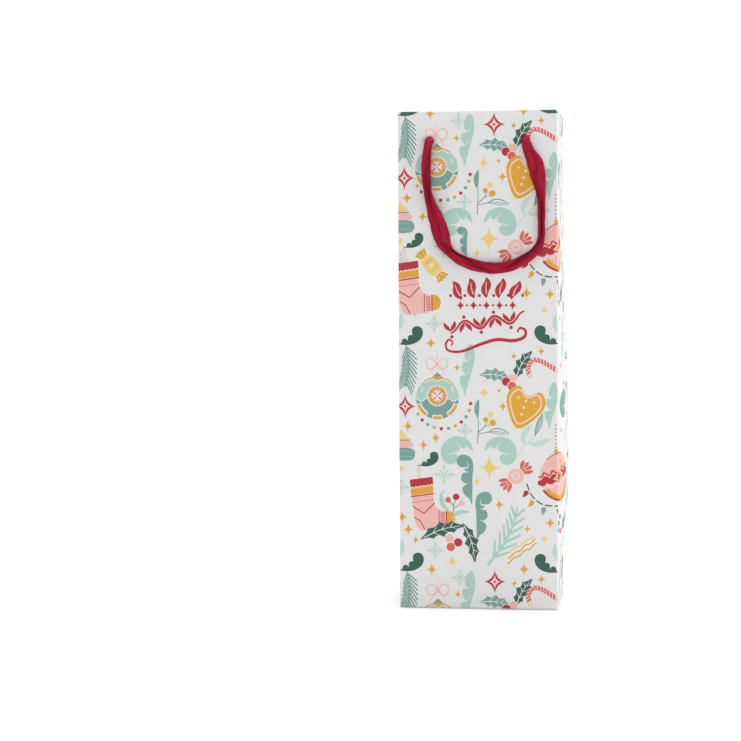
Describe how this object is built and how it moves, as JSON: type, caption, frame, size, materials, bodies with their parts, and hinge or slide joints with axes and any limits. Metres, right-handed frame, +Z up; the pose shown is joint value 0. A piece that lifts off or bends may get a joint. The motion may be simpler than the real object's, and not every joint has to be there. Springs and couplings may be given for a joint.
{
  "type": "bottle gift bag",
  "caption": "Tall block-bottomed paper gift bag for a wine bottle, with creased side gussets and ribbon loop handles; it folds flat.",
  "frame": {"origin": "on the floor, under the middle of the base", "axes": "+Z up towards the mouth, -Y out of the front panel, +X to the right seen from the front"},
  "size_m": [0.115, 0.0982, 0.36],
  "materials": {
    "printed_paper": "matt",
    "plain_paper": "matt",
    "card": "matt",
    "ribbon": "matt"
  },
  "bodies": {
    "base": {"base_outer_flap": "printed_paper", "base_inner_flap": "plain_paper", "base_right_flap": "plain_paper", "base_left_flap": "plain_paper", "base_board": "card"},
    "right_foot": {"right_gusset_foot": "printed_paper"},
    "left_foot": {"left_gusset_foot": "printed_paper"},
    "rear_foot": {"back_foot": "printed_paper"},
    "back": {"back_panel": "printed_paper", "back_top_hem": "printed_paper", "back_card_strip": "card", "back_knots": "ribbon", "side_seam_tab": "plain_paper"},
    "right_rear": {"right_gusset_rear": "printed_paper", "right_gusset_rear_hem": "printed_paper"},
    "right_front": {"right_gusset_front": "printed_paper", "right_gusset_front_hem": "printed_paper"},
    "front": {"front_panel": "printed_paper", "front_top_hem": "printed_paper", "front_card_strip": "card", "front_knots": "ribbon"},
    "left_front": {"left_gusset_front": "printed_paper", "left_gusset_front_hem": "printed_paper"},
    "left_rear": {"left_gusset_rear": "printed_paper", "left_gusset_rear_hem": "printed_paper"},
    "front_loop": {"front_handle": "ribbon"},
    "back_loop": {"back_handle": "ribbon"}
  },
  "joints": [
    {"name": "fold", "type": "hinge", "parent": "base", "child": "rear_foot", "pos_m": [0, 0.045, 0.003], "axis": [1, 0, 0], "range_deg": [0, 88], "deforming": ["front_knots", "back_knots"]},
    {"name": "back_crease", "type": "hinge", "parent": "rear_foot", "child": "back", "pos_m": [0, 0.0451, 0.045], "axis": [1, 0, 0], "range_deg": [-176, 0]},
    {"name": "right_rear_corner", "type": "hinge", "parent": "back", "child": "right_rear", "pos_m": [0.0575, 0.0426, 0.2], "axis": [0, 0, 1], "range_deg": [-88, 0]},
    {"name": "right_gusset_crease", "type": "hinge", "parent": "right_rear", "child": "right_front", "pos_m": [0.0576, 0, 0.2], "axis": [0, 0, 1], "range_deg": [0, 176]},
    {"name": "right_front_corner", "type": "hinge", "parent": "right_front", "child": "front", "pos_m": [0.0575, -0.0426, 0.2], "axis": [0, 0, 1], "range_deg": [-88, 0]},
    {"name": "left_front_corner", "type": "hinge", "parent": "front", "child": "left_front", "pos_m": [-0.0575, -0.0426, 0.2], "axis": [0, 0, 1], "range_deg": [-88, 0]},
    {"name": "left_gusset_crease", "type": "hinge", "parent": "left_front", "child": "left_rear", "pos_m": [-0.0576, 0, 0.2], "axis": [0, 0, 1], "range_deg": [0, 176]},
    {"name": "right_foot_crease", "type": "hinge", "parent": "base", "child": "right_foot", "pos_m": [0.05715, 0, 0.0024], "axis": [0, 1, 0], "range_deg": [-88, 0]},
    {"name": "left_foot_crease", "type": "hinge", "parent": "base", "child": "left_foot", "pos_m": [-0.05715, 0, 0.0024], "axis": [0, 1, 0], "range_deg": [0, 88]},
    {"name": "front_handle_swing", "type": "hinge", "parent": "front", "child": "front_loop", "pos_m": [0, -0.0472, 0.339], "axis": [-1, 0, 0], "range_deg": [0, 175]},
    {"name": "back_handle_swing", "type": "hinge", "parent": "back", "child": "back_loop", "pos_m": [0, 0.0472, 0.339], "axis": [1, 0, 0], "range_deg": [0, 175]}
  ],
  "couplings": [
    {"joint": "back_crease", "follows": "fold", "ratio": -2},
    {"joint": "right_rear_corner", "follows": "fold", "ratio": -1},
    {"joint": "right_gusset_crease", "follows": "fold", "ratio": 2},
    {"joint": "right_front_corner", "follows": "fold", "ratio": -1},
    {"joint": "left_front_corner", "follows": "fold", "ratio": -1},
    {"joint": "left_gusset_crease", "follows": "fold", "ratio": 2},
    {"joint": "right_foot_crease", "follows": "fold", "ratio": -1},
    {"joint": "left_foot_crease", "follows": "fold", "ratio": 1}
  ]
}
